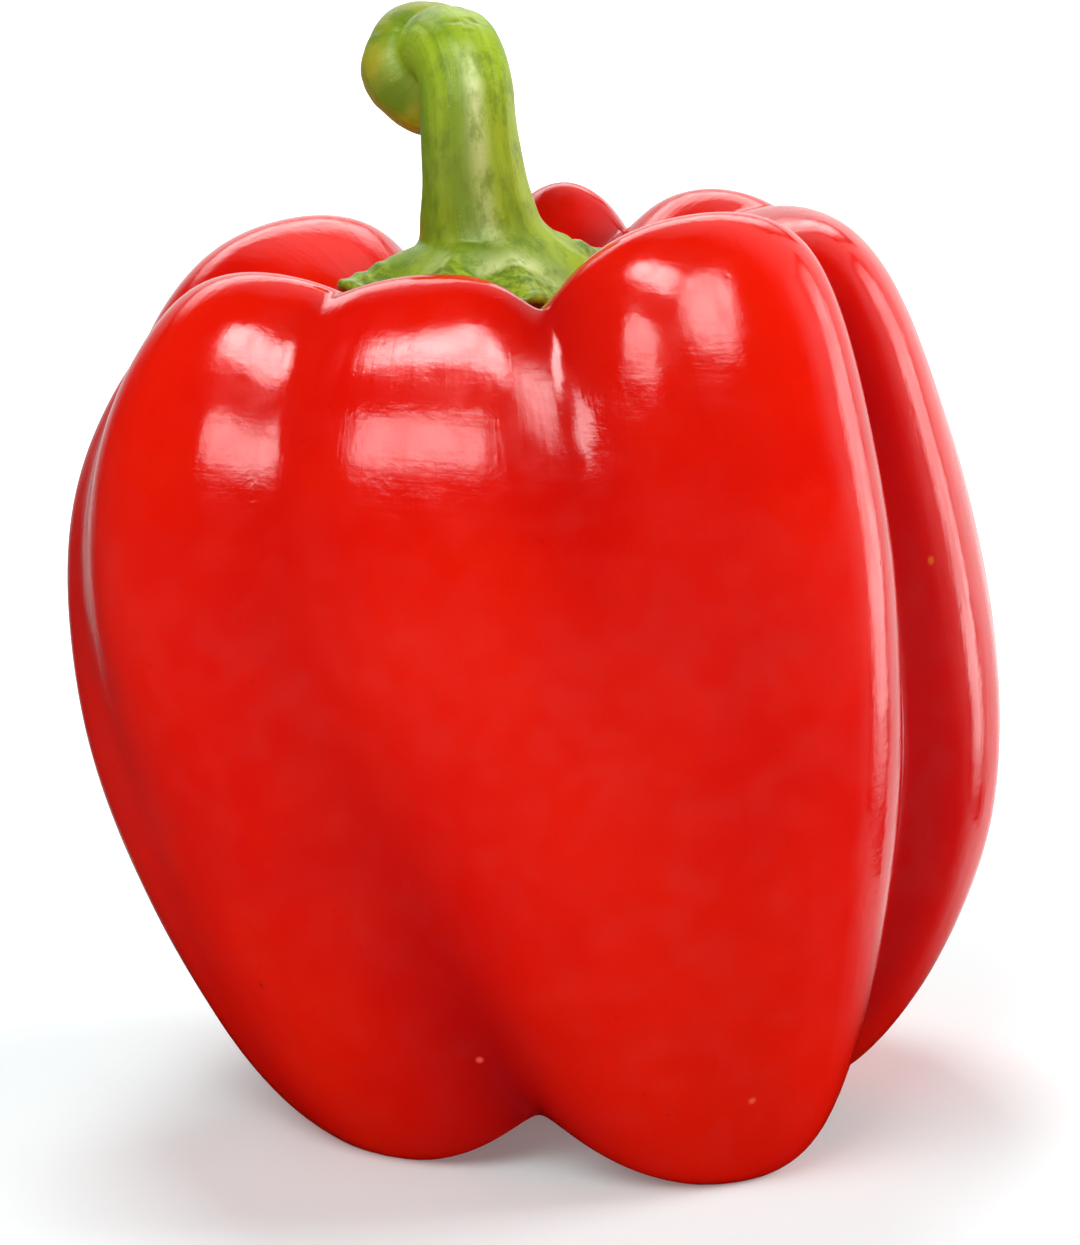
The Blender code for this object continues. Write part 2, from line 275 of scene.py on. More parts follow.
CAMERA_AT = (0.00022, -0.58977, 0.1984)
CAMERA_TO = (0.00022, -0.00177, 0.0479)
FOCAL_PIXELS = 6354
PHOTO_HEIGHT = 1245
SENSOR = 36.0


def ring_value(values, around):
    """A smooth closed curve through one value for each rib, read at a rib coordinate."""
    before = np.floor(around).astype(int)
    part = around - before
    a, b, c, d = (np.asarray(values)[(before + step) % len(values)] for step in (-1, 0, 1, 2))
    bend = 2 * a - 5 * b + 4 * c - d
    twist = 3 * b - a - 3 * c + d
    return b + 0.5 * ((c - a) * part + bend * part**2 + twist * part**3)


def spline(points, along):
    """A uniform cubic B-spline. The middle of its first edge is at 0.5."""
    first = np.minimum(np.floor(along).astype(int), len(points) - 4)
    part = along - first
    weights = (
        (1 - part) ** 3 / 6,
        (3 * part**3 - 6 * part**2 + 4) / 6,
        (1 + 3 * part + 3 * part**2 - 3 * part**3) / 6,
        part**3 / 6,
    )
    return sum(weight * np.choose(first + step, points) for step, weight in enumerate(weights))


def spread(values, along):
    """Reads a tuple given at the ten control points."""
    values = (values[0], *values, values[-1])
    return spline([np.full_like(along, value) for value in values], along)


def azimuth(around, turned):
    """Degrees from the front, for a rib coordinate, at a share of the way to the foot."""
    even = 360 / len(RIBS)
    places = np.arange(len(RIBS)) * even
    top = ring_value([rib.cleft_top for rib in RIBS] - places, around - 0.5)
    foot = ring_value([rib.cleft_foot for rib in RIBS] - places, around - 0.5)
    return top + (foot - top) * turned + (around - 0.5) * even


def outline(around, along):
    """Radius and height on a rib's outline before its clefts are cut."""
    crest, high, upper, lower, foot = (
        ring_value([getattr(rib, name) for rib in RIBS], around)
        for name in ("crest", "high", "upper", "lower", "foot")
    )
    flat = np.zeros_like(around)
    radii = [
        -(crest - CREST_HALF), flat - BASIN_RADIUS, flat + BASIN_RADIUS, crest - CREST_HALF,
        crest + CREST_HALF, upper, lower, foot + FOOT_OUT, foot - FOOT_IN,
        flat + DIMPLE_RADIUS, flat - DIMPLE_RADIUS, -(foot - FOOT_IN),
    ]
    heights = [
        high, flat + BASIN_HEIGHT, flat + BASIN_HEIGHT, high,
        high, UPPER_SHARE * high, LOWER_SHARE * high, flat - FOOT_DROP, flat + FOOT_RISE,
        flat + DIMPLE_HEIGHT, flat + DIMPLE_HEIGHT, flat + FOOT_RISE,
    ]
    return spline(radii, along), spline(heights, along)


def cleft_depth(around, along, radius):
    """How far the clefts push the skin in."""
    turned = spread(TURN, along)
    here = azimuth(around, turned)
    width, rounding = spread(WIDTH, along), spread(ROUNDING, along)
    shares = spread(TOP_SHARE, along), spread(SIDE_SHARE, along), spread(FOOT_SHARE, along)
    depth = np.zeros_like(around)
    for place, rib in enumerate(RIBS):
        full = shares[0] * rib.deep_top + shares[1] * rib.deep_side + shares[2] * rib.deep_foot
        cleft = azimuth(np.full_like(around, place + 0.5), turned)
        away = np.radians((here - cleft + 180) % 360 - 180) * radius
        depth += full * np.exp((rounding - np.hypot(away, rounding)) / width)
    return depth


def fruit_surface(around, along, share=1.0, lift=0.0):
    """Points of the fruit's skin, with a share of the clefts' depth, lifted off it by a distance."""
    around, along = np.broadcast_arrays(around, along)
    around, along = around.astype(float), along.astype(float)
    radius, height = outline(around, along)
    ahead, behind = outline(around, along + SLOPE_STEP), outline(around, along - SLOPE_STEP)
    run, rise = ahead[0] - behind[0], ahead[1] - behind[1]
    length = np.hypot(run, rise)
    inward = share * cleft_depth(around, along, radius) - lift
    radius = radius + rise / length * inward
    height = height - run / length * inward
    angle = np.radians(azimuth(around, spread(TURN, along)))
    x = spread(AXIS, along) + radius * np.sin(angle)
    return np.stack([x, -radius * np.cos(angle), height], axis=-1)


def rib_columns(per_rib):
    """Rib coordinates of the columns, closer together near the clefts."""
    step = np.arange(per_rib * len(RIBS)) / per_rib
    return step - 0.5 - CROWDING * np.sin(2 * math.pi * step) / (2 * math.pi)


def socket_mouth(around):
    """Where along each outline the hole's wall meets the basin."""
    along = np.linspace(FIRST, BASIN_END, SAMPLES)[:, None]
    radius = outline(*np.broadcast_arrays(around[None, :], along))[0]
    return np.array([np.interp(SOCKET_RADIUS, column, along[:, 0]) for column in radius.T])


def fruit_grid():
    """Rings of the fruit from the dimple below up to the floor of the hole, with their places."""
    around = rib_columns(COLUMNS_PER_RIB)
    mouth = socket_mouth(around)
    share = np.linspace(1, 0, FRUIT_ROWS - 1)[:, None]
    along = mouth + (LAST - mouth) * share
    skin = fruit_surface(around[None, :], along)
    skin[..., 2] = np.maximum(skin[..., 2], 0.0)
    floor = skin[-1].copy()
    floor[:, 2] = skin[-1, :, 2].mean() - SOCKET_DEPTH
    centre = np.broadcast_to(floor.mean(axis=0), floor.shape)
    along = np.concatenate([along, along[-1:], along[-1:]])
    return np.concatenate([skin, floor[None], centre[None]]), around, along


def sepal_share(angle):
    """1 in the middle of a sepal and 0 between sepals, with the calyx's reach and lift there."""
    share, reach = np.zeros_like(angle), np.full_like(angle, CALYX_RADIUS)
    lift = np.zeros_like(angle)
    for sepal in SEPALS:
        away = np.abs((angle - sepal.azimuth + 180) % 360 - 180) / sepal.half_width
        near = np.exp(-(away**SEPAL_POINT))
        share = np.maximum(share, near)
        reach = reach + (sepal.reach - CALYX_RADIUS) * near
        lift = lift + sepal.lift * near
    return share, reach, lift


def calyx_floor(around, radius):
    """Points at a given radius on the calyx's underside, just off the fruit."""
    along = np.linspace(FIRST, BASIN_END, SAMPLES)[:, None]
    curves = fruit_surface(around[None, :], along, CALYX_SHARE, CALYX_GAP)
    axis = spread(AXIS, along)
    points = np.empty((len(around), 3))
    for column, wanted in enumerate(radius):
        reached = np.hypot(curves[:, column, 0] - axis[:, 0], curves[:, column, 1])
        points[column] = [np.interp(wanted, reached, curves[:, column, k]) for k in range(3)]
    return points


def calyx_rings(around):
    """Rings out along the calyx's underside, and rings back over its top to the stalk."""
    angle = azimuth(around, 0.0)
    share, reach, lift = sepal_share(angle)
    under, over = [], []
    inner = SOCKET_RADIUS - ROOT_GAP
    for out in np.linspace(0, 1, UNDER_ROWS + 1):
        under.append(calyx_floor(around, inner + (reach - inner) * out))
        under[-1][:, 2] += lift * out
    for back in np.linspace(0, 1, OVER_ROWS + 1):
        ring = calyx_floor(around, reach + (HUB_RADIUS - reach) * back)
        ring[:, 2] += lift * (1 - back)
        ring[:, 2] += EDGE_THICKNESS + HUB_THICKNESS * back**HUB_RISE
        ring[:, 2] += 4 * SEPAL_RIDGE * share * back * (1 - back)
        over.append(ring)
    return under, over


def circle(centre, side, up, angle, radius):
    """A ring of points round a centre, in the plane of two directions."""
    turn = np.radians(angle)[:, None]
    ridged = radius * (1 + STALK_RIDGE * np.cos(STALK_RIDGES * turn))
    return centre + ridged * (np.sin(turn) * side - np.cos(turn) * up)


def knob_radius(along):
    """The knob swells out of the bend, is widest at KNOB_RISE and rounds in again."""
    if along < KNOB_RISE:
        part = along / KNOB_RISE
        return BEND_THIN + (KNOB_RADIUS - BEND_THIN) * math.sin(math.pi / 2 * part)
    return KNOB_RADIUS * math.sqrt(1 - ((along - KNOB_RISE) / KNOB_ROUND) ** 2)


def stalk_rings(around):
    """Rings up the stalk, over its bend and round the knob to the edge of the scar."""
    angle = azimuth(around, 0.0)
    side, back = np.array([1.0, 0, 0]), np.array([0, 1.0, 0])
    rings = [
        circle(np.array([place.x, 0, place.height]), side, back, angle, place.radius)
        for place in STALK
    ]
    last = STALK[-1]
    heading = math.radians(BEND_AZIMUTH)
    over = np.array([math.sin(heading), -math.cos(heading), 0])
    upward = np.array([0, 0, 1.0])
    pivot = np.array([last.x, 0, last.height]) + BEND_RADIUS * over

    def tilted(vector, tilt):
        """Turns a level direction with the bend."""
        level = vector @ over
        return vector + level * ((math.cos(tilt) - 1) * over - math.sin(tilt) * upward)

    end = math.radians(BEND_DEGREES)
    for tilt in np.linspace(0, end, BEND_ROWS + 1)[1:]:
        centre = pivot + BEND_RADIUS * (math.sin(tilt) * upward - math.cos(tilt) * over)
        radius = last.radius + (BEND_THIN - last.radius) * math.sin(math.pi * tilt / end / 2)
        rings.append(circle(centre, tilted(side, tilt), tilted(back, tilt), angle, radius))
    ahead = math.sin(end) * over + math.cos(end) * upward
    for part in np.linspace(0, 1, KNOB_ROWS + 1)[1:]:
        middle = centre + KNOB_LENGTH * part * ahead
        radius = knob_radius(KNOB_LENGTH * part)
        rings.append(circle(middle, tilted(side, end), tilted(back, end), angle, radius))
    tip = centre + (KNOB_LENGTH - SCAR_DEPTH) * ahead
    return rings, tip


def between(rings, steps):
    """The rings, with more rings between them on smooth curves through them."""
    padded = np.stack([rings[0], *rings, rings[-1]])
    fine = []
    for place in range(len(rings) - 1):
        a, b, c, d = padded[place:place + 4]
        for part in np.arange(steps) / steps:
            bend = 2 * a - 5 * b + 4 * c - d
            twist = 3 * b - a - 3 * c + d
            fine.append(b + 0.5 * ((c - a) * part + bend * part**2 + twist * part**3))
    return [*fine, rings[-1]]


def rim(under, over, angle):
    """Rings round the calyx's edge, from its underside to its top."""
    outward = np.stack([np.sin(angle), -np.cos(angle), np.zeros_like(angle)], axis=-1)
    half = (over - under) / 2
    thick = np.linalg.norm(half, axis=-1, keepdims=True)
    turns = np.linspace(-math.pi / 2, math.pi / 2, RIM_ROWS + 2)[1:-1]
    middle = (under + over) / 2
    return [middle + half * math.sin(turn) + outward * thick * math.cos(turn) for turn in turns]


def bumps(points, size, seed):
    """Smooth unevenness between -1 and 1, of a given size."""
    flat = (points / size + seed).reshape(-1, 3)
    return np.array([noise.noise(Vector(place)) for place in flat]).reshape(points.shape[:-1])


def outward(grid):
    """Directions out of a grid of rings."""
    across = np.roll(grid, -1, axis=1) - np.roll(grid, 1, axis=1)
    out = np.cross(across, np.gradient(grid, axis=0))
    return out / np.maximum(np.linalg.norm(out, axis=-1, keepdims=True), 1e-12)


def ease(low, high, value):
    """0 below low, 1 above high, smooth between."""
    part = np.clip((value - low) / (high - low), 0, 1)
    return part * part * (3 - 2 * part)


def aside(angle, at):
    """Degrees from an azimuth, for an angle in radians."""
    return (np.degrees(angle) - at + 180) % 360 - 180


def stretch_of(row, rise, fall):
    """1 between two places, easing up over the first pair of rows and down over the second."""
    return ease(*rise, row) * (1 - ease(*fall, row))


def fine_fruit(shift):
    """The fruit's rings with their unevenness, and the masks its colours follow."""
    grid, around, along = fruit_grid()
    around, along = np.broadcast_arrays(around[None, :], along)
    angle = np.radians(azimuth(around, spread(TURN, along)))
    turned = np.stack([np.sin(angle), -np.cos(angle), np.zeros_like(angle)], axis=-1)
    grain = turned * GRAIN_RADIUS + grid * np.array([0, 0, 1.0])
    # How deep the clefts are here, for the painted shade in them.
    cleft = cleft_depth(around, along, np.full_like(along, GRAIN_RADIUS)) / CLEFT_SHADE_FULL
    degrees = np.degrees(angle)
    start, end = FLUTED
    fluted = ease(start, start + FLUTED_EASE, degrees) * ease(-end, -end + FLUTED_EASE, -degrees)
    side = ease(*FOOT_FADE, grid[..., 2]) * ease(*BASIN_FADE, along)
    flutes = bumps(grain / np.array([1, 1, FLUTE_STRETCH]), FLUTE, seed=3.1)
    push = DENT_DEPTH * bumps(grid, DENT, seed=7.7) + flutes * (FLUTE_DEPTH + FLUTED_DEPTH * fluted)
    grid = grid + outward(grid) * (push * side)[..., None] + shift
    grid[..., 2] = np.maximum(grid[..., 2], 0.0)
    return grid, {"grain": grain, "cleft": np.clip(cleft, 0, 1)}


def stem_grid(around, angle):
    """The stem's rings from the middle of its root to the middle of its scar, and its first rows."""
    under, over = calyx_rings(around)
    stalk, tip = stalk_rings(around)
    bottom = under[0].copy()
    bottom[:, 2] = fruit_grid()[0][-1, 0, 2] + ROOT_GAP
    centre = np.broadcast_to(bottom.mean(axis=0), bottom.shape)
    edge = rim(under[-1], over[0], angle)
    above = between([*over, *stalk], ROWS_BETWEEN)
    scar = [tip + (stalk[-1] - tip) * share for share in SCAR_SHARES]
    grid = np.stack([centre, bottom, *under, *edge, *above, *scar])
    calyx = 2 + len(under) + len(edge)
    foot = calyx + (len(over) - 1) * ROWS_BETWEEN
    join = np.arange(foot - JOIN_ROWS, foot + JOIN_ROWS)
    for _ in range(JOIN_PASSES):
        grid[join] = (grid[join - 1] + 2 * grid[join] + grid[join + 1]) / 4
    return grid, FirstRows(calyx, foot, foot + len(STALK) * ROWS_BETWEEN, calyx + len(above))


def stem_grain(grid, angle, first):
    """How far along the stem each point lies from the stalk's foot, and its place if unrolled."""
    step = np.linalg.norm(np.diff(grid, axis=0, prepend=grid[:1]), axis=-1)
    along = np.cumsum(step, axis=0)
    along = along - along[first.foot]
    turned = np.stack([np.sin(angle), -np.cos(angle), np.zeros_like(angle)], axis=-1)
    return along, turned[None] * STALK_GRAIN + along[..., None] * np.array([0, 0, 1.0])


def sepal_mask(grid, angle, first, row):
    """1 on the upper side of the sepals' blades."""
    reached = np.hypot(grid[..., 0] - AXIS[0], grid[..., 1])
    on_top = stretch_of(row, (first.calyx - RIM_ROWS, first.calyx), (first.foot, first.foot + 2))
    return sepal_share(np.degrees(angle))[0] * ease(*SEPAL_START, reached) * on_top


def crease_mask(along, grain, angle):
    """1 in the creases on top of the bend."""
    waver = CREASE_WAVER * bumps(grain, CREASE_WAVE, seed=5.5)
    total = np.zeros_like(along)
    for crease in CREASES:
        ahead = (along - crease.place - waver) / CREASE_WIDTH
        beside = aside(angle, crease.azimuth) / crease.half_width
        total += np.exp(-(ahead**2) - beside**2) * crease.strength
    return np.clip(total, 0, 1)


def painted_sheen_mask(angle, first, row, hub):
    """1 on the painted highlight: the pale streak up the stalk and the pale patch at its foot."""
    foot = (first.foot - SHEEN_FOOT[0], first.foot + SHEEN_FOOT[1])
    fade = (first.bend + SHEEN_FADES[0], first.bend + SHEEN_FADES[1])
    strength = SHEEN_LOW + (1 - SHEEN_LOW) * ease(first.bend - SHEEN_GROWS, first.bend, row)
    away = aside(angle, SHEEN_AZIMUTH)
    streak = strength * stretch_of(row, foot, fade) * np.exp(-((away / SHEEN_WIDTH) ** 2))
    return np.maximum(streak, hub * np.exp(-((away / SHEEN_SPOT) ** 2)))


def fine_stem(shift):
    """The stem's rings with their fibres, creases and wrinkles, and the masks its colours follow."""
    around = np.arange(STEM_COLUMNS) * len(RIBS) / STEM_COLUMNS
    angle = np.radians(azimuth(around, 0.0))
    grid, first = stem_grid(around, angle)
    along, grain = stem_grain(grid, angle, first)
    row = np.arange(len(grid))[:, None] + 0.0 * angle
    swell = (first.calyx, first.calyx + HUB_SWELL_RISE), (first.foot - HUB_SWELL_FALL, first.foot + 2)
    hub = stretch_of(row, *swell)
    stalk = (first.foot - 2 * ROWS_BETWEEN, first.foot + ROWS_BETWEEN)
    stalky = stretch_of(row, stalk, (first.scar - 2, first.scar))
    marks = {
        "grain": grain,
        "sepal": sepal_mask(grid, angle, first, row),
        "scar": ease(first.scar - 3, first.scar, row),
        "knob": ease(first.bend + BEND_ROWS * ROWS_BETWEEN * KNOB_START, first.scar, row),
        "crease": crease_mask(along, grain, angle),
        # Where the painted highlight lies.
        "painted_sheen": painted_sheen_mask(angle, first, row, hub),
    }
    push = FIBRE_DEPTH * bumps(grain / np.array([1, 1, FIBRE_STRETCH]), FIBRE, seed=2.2) * stalky
    push += HUB_SWELL * hub - CREASE_DEPTH * marks["crease"]
    push += WRINKLE_DEPTH * marks["sepal"] * bumps(grain, WRINKLE, seed=9.1)
    push += LUMP_DEPTH * bumps(grid, LUMP, seed=4.4) * ease(first.calyx, first.calyx + 3, row)
    push += SCAR_ROUGH * marks["scar"] * bumps(grid, SCAR_GRAIN, seed=6.3)
    return grid + outward(grid) * push[..., None] + shift, marks


def skin(name, grid, marks, coat):
    """A closed body: a ball whose parallels are moved to the grid's rings, lowest pole first."""
    rows, columns = grid.shape[0] - 1, grid.shape[1]
    shape = bmesh.new()
    bmesh.ops.create_uvsphere(shape, u_segments=columns, v_segments=rows, radius=1.0)
    layers = shape.verts.layers
    kept = [
        (layers.float_vector.new(mark) if values.ndim == 3 else layers.float.new(mark), values)
        for mark, values in marks.items()
    ]
    for point in shape.verts:
        row = round(math.acos(min(1.0, max(-1.0, -point.co.z))) / math.pi * rows)
        column = round(math.atan2(point.co.y, point.co.x) / (2 * math.pi) * columns) % columns
        point.co = grid[row, column]
        for layer, values in kept:
            point[layer] = values[row, column]
    mesh = bpy.data.meshes.new(name)
    shape.to_mesh(mesh)
    shape.free()
    mesh.materials.append(coat)
    mesh.shade_smooth()
    made = bpy.data.objects.new(name, mesh)
    bpy.context.scene.collection.objects.link(made)
    return made


def node(tree, kind, inputs=None, **settings):
    """Adds a node with its settings, its inputs filled by values or by other nodes' outputs."""
    made = tree.nodes.new(kind)
    for name, value in settings.items():
        setattr(made, name, value)
    for name, value in (inputs or {}).items():
        if isinstance(value, bpy.types.NodeSocket):
            tree.links.new(value, made.inputs[name])
        else:
            made.inputs[name].default_value = value
    return made


def blank(name):
    """A new material's node tree and its shader."""
    made = bpy.data.materials.new(name)
    made.use_nodes = True
    return made, made.node_tree, made.node_tree.nodes["Principled BSDF"]


def stretched(tree, vector, scale):
    """A pattern's place, stretched."""
    return node(tree, "ShaderNodeVectorMath", {0: vector, 1: scale}, operation="MULTIPLY").outputs[0]


def pattern(tree, vector, scale, detail=2.0, roughness=0.5):
    """Noise from 0 to 1."""
    inputs = {"Vector": vector, "Scale": scale, "Detail": detail, "Roughness": roughness}
    return node(tree, "ShaderNodeTexNoise", inputs).outputs["Fac"]


def window(tree, value, low, high, start=0.0, end=1.0):
    """A value brought smoothly from one range to another."""
    made = node(
        tree, "ShaderNodeMapRange",
        {"Value": value, "From Min": low, "From Max": high, "To Min": start, "To Max": end},
        interpolation_type="SMOOTHSTEP",
    )
    return made.outputs["Result"]


def maths(tree, operation, one, other):
    """One sum of two values."""
    return node(tree, "ShaderNodeMath", {0: one, 1: other}, operation=operation).outputs[0]


def blend(tree, share, one, other):
    """A colour between two colours."""
    made = tree.nodes.new("ShaderNodeMix")
    made.data_type = "RGBA"
    for place, value in ((0, share), (6, one), (7, other)):
        if isinstance(value, bpy.types.NodeSocket):
            tree.links.new(value, made.inputs[place])
        else:
            made.inputs[place].default_value = value if place == 0 else (*value, 1.0)
    return made.outputs[2]


def mark(tree, name, output="Fac"):
    """A mask or place kept on the mesh."""
    return node(tree, "ShaderNodeAttribute", attribute_name=name).outputs[output]


def raise_by(tree, height, distance, under=None):
    """A bump of a given height in metres over another."""
    inputs = {"Height": height, "Distance": distance, "Strength": 1.0}
    if under is not None:
        inputs["Normal"] = under
    return node(tree, "ShaderNodeBump", inputs).outputs["Normal"]


def speckle_group():
    """Small round specks scattered over a surface: 1 in a speck's middle and 0 away from it."""
    group = bpy.data.node_groups.new("specks", "ShaderNodeTree")
    group.interface.new_socket("Vector", in_out="INPUT", socket_type="NodeSocketVector")
    for name in ("Scale", "Size", "Share"):
        group.interface.new_socket(name, in_out="INPUT", socket_type="NodeSocketFloat")
    group.interface.new_socket("Specks", in_out="OUTPUT", socket_type="NodeSocketFloat")
    given = group.nodes.new("NodeGroupInput").outputs
    cells = node(group, "ShaderNodeTexVoronoi", {"Vector": given["Vector"], "Scale": given["Scale"]})
    near = node(
        group, "ShaderNodeMapRange",
        {"Value": cells.outputs["Distance"], "From Min": given["Size"], "From Max": 0.0},
        interpolation_type="SMOOTHSTEP",
    )
    drawn = node(group, "ShaderNodeSeparateColor", {"Color": cells.outputs["Color"]})
    chosen = maths(group, "LESS_THAN", drawn.outputs[0], given["Share"])
    sized = maths(group, "MULTIPLY", near.outputs["Result"], chosen)
    group.links.new(sized, group.nodes.new("NodeGroupOutput").inputs["Specks"])
    return group


def specks(tree, group, vector, scale, size, share):
    """The specks' mask, with its own scale, size and share of the places."""
    made = tree.nodes.new("ShaderNodeGroup")
    made.node_tree = group
    tree.links.new(vector, made.inputs["Vector"])
    for name, value in (("Scale", scale), ("Size", size), ("Share", share)):
        made.inputs[name].default_value = value
    return made.outputs["Specks"]


def spot(tree, place, centre, size):
    """1 at a place and 0 beyond a distance from it."""
    away = node(tree, "ShaderNodeVectorMath", {0: place, 1: centre}, operation="DISTANCE").outputs["Value"]
    return window(tree, away, size, size * 0.3)


def fruit_colour(tree, place, streaks, pores):
    """Mottled reds, with painted shade darkening the clefts, darker pores and a few small spots."""
    mottle = pattern(tree, place, 38.0, 3.0, 0.55)
    patches = pattern(tree, place, 150.0, 4.0, 0.6)
    colour = blend(tree, window(tree, mottle, 0.35, 0.66), DEEP_RED, BRIGHT_RED)
    colour = blend(tree, window(tree, patches, 0.50, 0.75, 0.0, 0.2), colour, WARM_RED)
    colour = blend(tree, window(tree, streaks, 0.55, 0.8, 0.0, 0.25), colour, DEEP_RED)
    # Painted shade darkens the clefts; the pores are the skin's own darker red.
    colour = blend(tree, maths(tree, "MULTIPLY", mark(tree, "cleft"), 0.8), colour, PORE_AND_CLEFT_SHADE_RED)
    colour = blend(tree, maths(tree, "MULTIPLY", pores, 0.25), colour, PORE_AND_CLEFT_SHADE_RED)
    for centre, size, shade in SPOTS:
        colour = blend(tree, spot(tree, place, centre, size), colour, shade)
    return colour


def fruit_coat(group):
    """Waxy red skin with pores, streaks, fine scuffs and a soft unevenness."""
    made, tree, shader = blank("waxy_red_skin")
    place = node(tree, "ShaderNodeTexCoord").outputs["Object"]
    grain = mark(tree, "grain", "Vector")
    streaks = pattern(tree, stretched(tree, grain, (1.0, 1.0, 0.10)), 420.0, 3.0, 0.55)
    pores = specks(tree, group, place, 420.0, 0.16, 0.16)
    tree.links.new(fruit_colour(tree, place, streaks, pores), shader.inputs["Base Color"])
    gloss = window(tree, pattern(tree, place, 260.0, 4.0, 0.6), 0.35, 0.7, *WAXY)
    tree.links.new(gloss, shader.inputs["Roughness"])
    shader.inputs["Specular IOR Level"].default_value = 0.25
    shader.inputs["Coat Weight"].default_value = 0.12
    shader.inputs["Coat Roughness"].default_value = 0.05
    scuffs = pattern(tree, stretched(tree, place, (0.10, 0.10, 1.6)), 900.0, 2.0, 0.6)
    normal = raise_by(tree, pattern(tree, place, 110.0, 2.0, 0.5), 0.00016)
    normal = raise_by(tree, streaks, 0.00005, normal)
    normal = raise_by(tree, pattern(tree, place, 800.0, 3.0, 0.6), 0.00003, normal)
    normal = raise_by(tree, scuffs, 0.000012, normal)
    normal = raise_by(tree, maths(tree, "SUBTRACT", 1.0, pores), 0.000015, normal)
    tree.links.new(normal, shader.inputs["Normal"])
    return made


def stalk_colour(tree, place, grain, fibres, patches):
    """Streaked and mottled greens, yellowing and then brown at the knob, with a painted highlight streak.
    """
    bands = pattern(tree, stretched(tree, grain, (1.0, 1.0, 0.15)), 230.0, 3.0, 0.55)
    mottle = pattern(tree, stretched(tree, place, (1.0, 1.0, 0.5)), 520.0, 5.0, 0.7)
    knob = mark(tree, "knob")
    colour = blend(tree, window(tree, bands, 0.36, 0.64), LEAF_GREEN, YELLOW_GREEN)
    colour = blend(tree, window(tree, fibres, 0.45, 0.75, 0.0, 0.35), colour, DEEP_GREEN)
    colour = blend(tree, window(tree, mottle, 0.46, 0.68, 0.0, 0.55), colour, DEEP_GREEN)
    colour = blend(tree, window(tree, patches, 0.55, 0.75, 0.0, 0.4), colour, OLIVE)
    yellow = blend(tree, window(tree, patches, 0.35, 0.65), KNOB_GREEN, KNOB_YELLOW)
    colour = blend(tree, window(tree, knob, 0.0, 0.5), colour, yellow)
    colour = blend(tree, window(tree, knob, 0.72, 1.0, 0.0, 0.8), colour, RIM_BROWN)
    # Painted highlight: pale green up the stalk's front and on the hub, broken up by the mottle.
    painted_sheen_share = maths(tree, "MULTIPLY", mark(tree, "painted_sheen"), window(tree, mottle, 0.64, 0.42, 0.3, 1.0))
    return blend(tree, painted_sheen_share, colour, PAINTED_SHEEN)


def stem_colour(tree, group, place, colour, crease, scar):
    """The stalk's colour with the sepals, creases, specks and the corky scar laid over it."""
    wrinkles = pattern(tree, place, 1100.0, 3.0, 0.6)
    leafy = blend(tree, window(tree, wrinkles, 0.38, 0.66), SEPAL_DARK, SEPAL_GREEN)
    colour = blend(tree, window(tree, mark(tree, "sepal"), 0.15, 0.5), colour, leafy)
    colour = blend(tree, maths(tree, "MULTIPLY", crease, 0.65), colour, CREASE_BROWN)
    bright = specks(tree, group, place, 1800.0, 0.26, 0.08)
    colour = blend(tree, maths(tree, "MULTIPLY", bright, 0.55), colour, SPECK)
    corky = window(tree, pattern(tree, place, 1300.0, 4.0, 0.7), 0.35, 0.7)
    return blend(tree, scar, colour, blend(tree, corky, CORK_DARK, CORK))


def stem_coat(group):
    """Fibrous green: mottled stalk, wrinkled sepals, a yellowing knob and a corky scar."""
    made, tree, shader = blank("fibrous_green_stem")
    place = node(tree, "ShaderNodeTexCoord").outputs["Object"]
    grain = mark(tree, "grain", "Vector")
    scar, crease = mark(tree, "scar"), mark(tree, "crease")
    fibres = pattern(tree, stretched(tree, grain, (1.0, 1.0, 0.07)), 900.0, 4.0, 0.6)
    patches = pattern(tree, place, 210.0, 4.0, 0.6)
    colour = stalk_colour(tree, place, grain, fibres, patches)
    colour = stem_colour(tree, group, place, colour, crease, scar)
    tree.links.new(colour, shader.inputs["Base Color"])
    rough = window(tree, patches, 0.3, 0.7, *FIBROUS)
    rough = maths(tree, "ADD", rough, maths(tree, "MULTIPLY", scar, 0.4))
    tree.links.new(rough, shader.inputs["Roughness"])
    shader.inputs["Specular IOR Level"].default_value = 0.3
    normal = raise_by(tree, fibres, 0.00010)
    normal = raise_by(tree, pattern(tree, place, 1500.0, 4.0, 0.65), 0.00005, normal)
    normal = raise_by(tree, maths(tree, "SUBTRACT", 1.0, crease), 0.00015, normal)
    tree.links.new(normal, shader.inputs["Normal"])
    return made


def studio():
    """The white surroundings, which reflections show only behind the pepper and to its right."""
    world = bpy.data.worlds.new("studio")
    bpy.context.scene.world = world
    world.use_nodes = True
    tree = world.node_tree
    ground = tree.nodes["Background"]
    place = node(tree, "ShaderNodeTexCoord").outputs["Generated"]
    facing = node(tree, "ShaderNodeVectorMath", {0: place, 1: BRIGHT_TOWARDS}, operation="DOT_PRODUCT")
    shade = window(tree, facing.outputs["Value"], *BRIGHT_BEHIND, DIM, 1.0)
    path = node(tree, "ShaderNodeLightPath")
    mirrored = maths(tree, "MULTIPLY", shade, path.outputs["Is Glossy Ray"])
    other = maths(tree, "MULTIPLY", maths(tree, "SUBTRACT", 1.0, path.outputs["Is Glossy Ray"]), FILL)
    seen = maths(tree, "MAXIMUM", path.outputs["Is Camera Ray"], maths(tree, "ADD", mirrored, other))
    tree.links.new(seen, ground.inputs["Strength"])
    ground.inputs["Color"].default_value = (1.0, 1.0, 1.0, 1.0)


